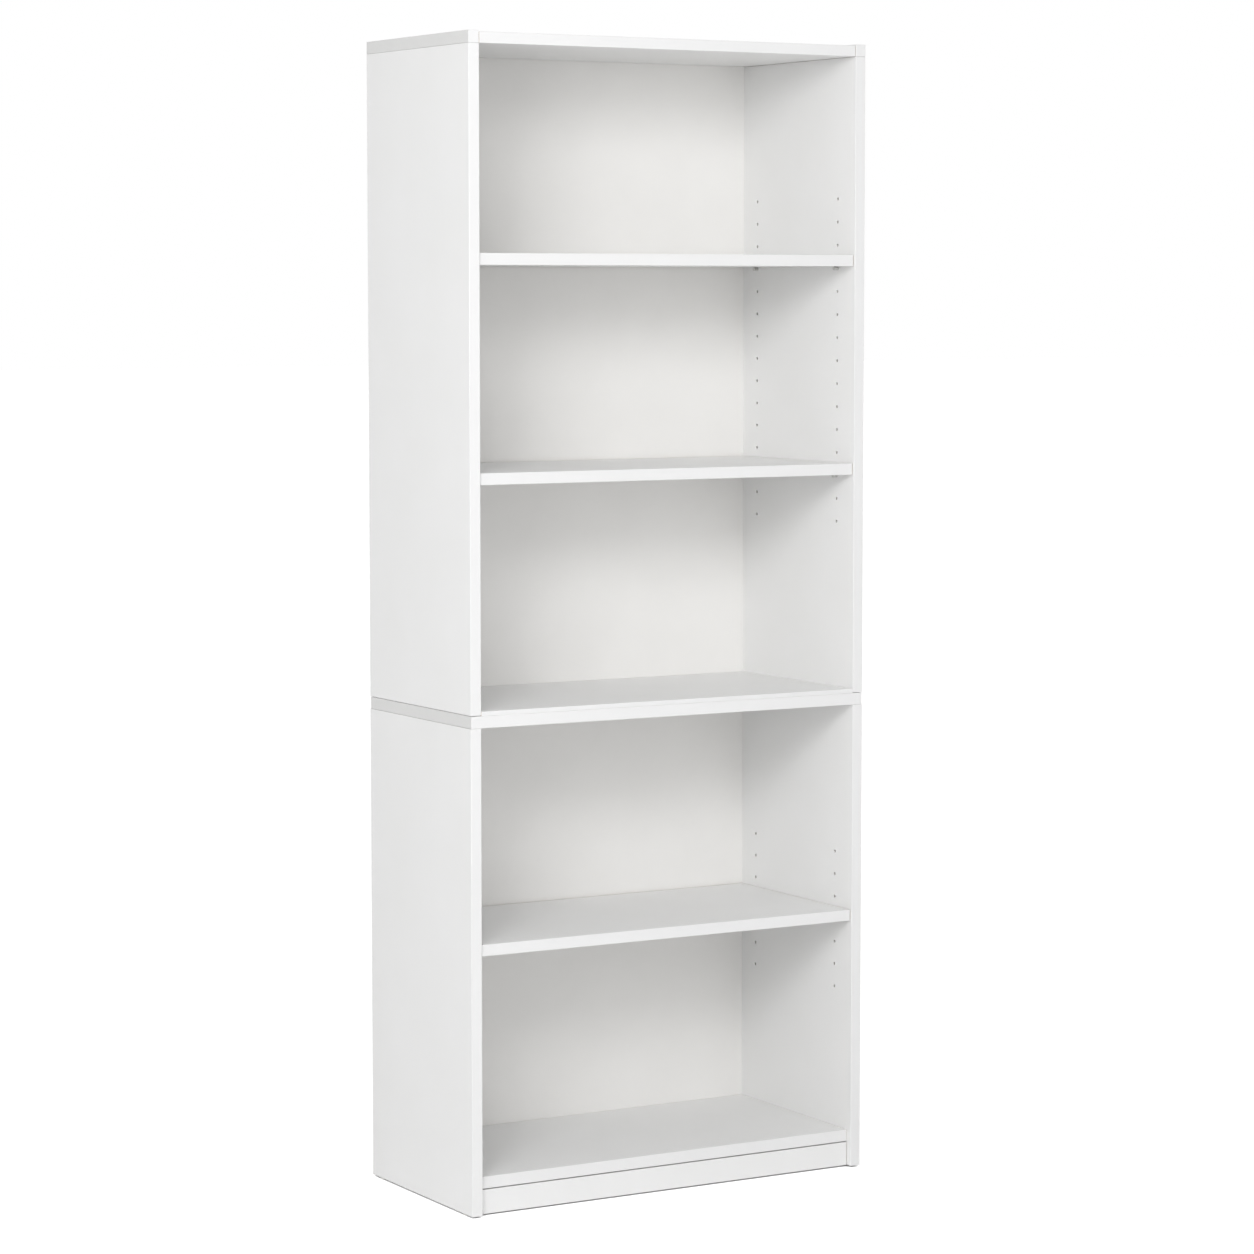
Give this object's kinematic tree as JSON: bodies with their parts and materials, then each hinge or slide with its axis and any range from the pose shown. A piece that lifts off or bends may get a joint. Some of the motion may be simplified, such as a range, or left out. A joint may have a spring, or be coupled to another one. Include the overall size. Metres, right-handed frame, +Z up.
{
  "type": "bookcase with adjustable shelves",
  "caption": "Tall open bookcase in laminated board, with fixed and loose shelves that rest on pins in rows of holes in its sides.",
  "frame": {"origin": "on the floor, under the middle of the case's bounding box", "axes": "+Z up, -Y out of the open front, +X to the right of a person who faces the front"},
  "size_m": [0.711, 0.34, 1.803],
  "materials": {
    "laminate": "white melamine-faced particleboard with matching edge bands, satin",
    "backing": "thin hardboard, white foil on the front and bare brown behind",
    "fitting": "nickel-plated steel, satin",
    "cam": "die-cast zinc alloy, dull",
    "dowel": "fluted beech, bare",
    "glide": "white nylon"
  },
  "bodies": {
    "case": {"bottom_shelf": "laminate", "kick_board": "laminate", "middle_board": "laminate", "upper_floor_panel": "laminate", "top_panel": "laminate", "lower_back_panel": "backing", "upper_back_panel": "backing", "lower_left_side": "laminate", "upper_left_side": "laminate", "left_end_block": "laminate", "kick_dowel_left": "dowel", "lower_right_side": "laminate", "upper_right_side": "laminate", "right_end_block": "laminate", "kick_dowel_right": "dowel", "glide_front_left": "glide", "glide_rear_left": "glide", "glide_front_right": "glide", "glide_rear_right": "glide", "middle_dowel_front_left": "dowel", "middle_dowel_rear_left": "dowel", "middle_dowel_front_right": "dowel", "middle_dowel_rear_right": "dowel", "block_dowel_front_left": "dowel", "block_dowel_rear_left": "dowel", "block_dowel_front_right": "dowel", "block_dowel_rear_right": "dowel", "bottom_cam_front_left": "cam", "bottom_cam_rear_left": "cam", "bottom_cam_front_right": "cam", "bottom_cam_rear_right": "cam", "bottom_bolt_front_left": "fitting", "bottom_bolt_rear_left": "fitting", "bottom_bolt_front_right": "fitting", "bottom_bolt_rear_right": "fitting", "top_cam_front_left": "cam", "top_cam_rear_left": "cam", "top_cam_front_right": "cam", "top_cam_rear_right": "cam", "top_bolt_front_left": "fitting", "top_bolt_rear_left": "fitting", "top_bolt_front_right": "fitting", "top_bolt_rear_right": "fitting"},
    "lower_shelf": {"lower_shelf": "laminate"},
    "centre_shelf": {"centre_shelf": "laminate"},
    "upper_shelf": {"upper_shelf": "laminate"},
    "lower_shelf_pin_front_left": {"lower_shelf_pin_front_left": "fitting"},
    "lower_shelf_pin_rear_left": {"lower_shelf_pin_rear_left": "fitting"},
    "lower_shelf_pin_front_right": {"lower_shelf_pin_front_right": "fitting"},
    "lower_shelf_pin_rear_right": {"lower_shelf_pin_rear_right": "fitting"},
    "centre_shelf_pin_front_left": {"centre_shelf_pin_front_left": "fitting"},
    "centre_shelf_pin_rear_left": {"centre_shelf_pin_rear_left": "fitting"},
    "centre_shelf_pin_front_right": {"centre_shelf_pin_front_right": "fitting"},
    "centre_shelf_pin_rear_right": {"centre_shelf_pin_rear_right": "fitting"},
    "upper_shelf_pin_front_left": {"upper_shelf_pin_front_left": "fitting"},
    "upper_shelf_pin_rear_left": {"upper_shelf_pin_rear_left": "fitting"},
    "upper_shelf_pin_front_right": {"upper_shelf_pin_front_right": "fitting"},
    "upper_shelf_pin_rear_right": {"upper_shelf_pin_rear_right": "fitting"}
  },
  "joints": [
    {"name": "lower_shelf_lift", "type": "slide", "parent": "case", "child": "lower_shelf", "axis": [0, 0, 1], "range_m": [0, 0.1104]},
    {"name": "centre_shelf_lift", "type": "slide", "parent": "case", "child": "centre_shelf", "axis": [0, 0, 1], "range_m": [0, 0.2944]},
    {"name": "upper_shelf_lift", "type": "slide", "parent": "case", "child": "upper_shelf", "axis": [0, 0, 1], "range_m": [0, 0.1104]},
    {"name": "lower_shelf_pin_front_left_pull", "type": "slide", "parent": "case", "child": "lower_shelf_pin_front_left", "axis": [1, 0, 0], "range_m": [0, 0.009]},
    {"name": "lower_shelf_pin_rear_left_pull", "type": "slide", "parent": "case", "child": "lower_shelf_pin_rear_left", "axis": [1, 0, 0], "range_m": [0, 0.009]},
    {"name": "lower_shelf_pin_front_right_pull", "type": "slide", "parent": "case", "child": "lower_shelf_pin_front_right", "axis": [-1, 0, 0], "range_m": [0, 0.009]},
    {"name": "lower_shelf_pin_rear_right_pull", "type": "slide", "parent": "case", "child": "lower_shelf_pin_rear_right", "axis": [-1, 0, 0], "range_m": [0, 0.009]},
    {"name": "centre_shelf_pin_front_left_pull", "type": "slide", "parent": "case", "child": "centre_shelf_pin_front_left", "axis": [1, 0, 0], "range_m": [0, 0.009]},
    {"name": "centre_shelf_pin_rear_left_pull", "type": "slide", "parent": "case", "child": "centre_shelf_pin_rear_left", "axis": [1, 0, 0], "range_m": [0, 0.009]},
    {"name": "centre_shelf_pin_front_right_pull", "type": "slide", "parent": "case", "child": "centre_shelf_pin_front_right", "axis": [-1, 0, 0], "range_m": [0, 0.009]},
    {"name": "centre_shelf_pin_rear_right_pull", "type": "slide", "parent": "case", "child": "centre_shelf_pin_rear_right", "axis": [-1, 0, 0], "range_m": [0, 0.009]},
    {"name": "upper_shelf_pin_front_left_pull", "type": "slide", "parent": "case", "child": "upper_shelf_pin_front_left", "axis": [1, 0, 0], "range_m": [0, 0.009]},
    {"name": "upper_shelf_pin_rear_left_pull", "type": "slide", "parent": "case", "child": "upper_shelf_pin_rear_left", "axis": [1, 0, 0], "range_m": [0, 0.009]},
    {"name": "upper_shelf_pin_front_right_pull", "type": "slide", "parent": "case", "child": "upper_shelf_pin_front_right", "axis": [-1, 0, 0], "range_m": [0, 0.009]},
    {"name": "upper_shelf_pin_rear_right_pull", "type": "slide", "parent": "case", "child": "upper_shelf_pin_rear_right", "axis": [-1, 0, 0], "range_m": [0, 0.009]}
  ]
}
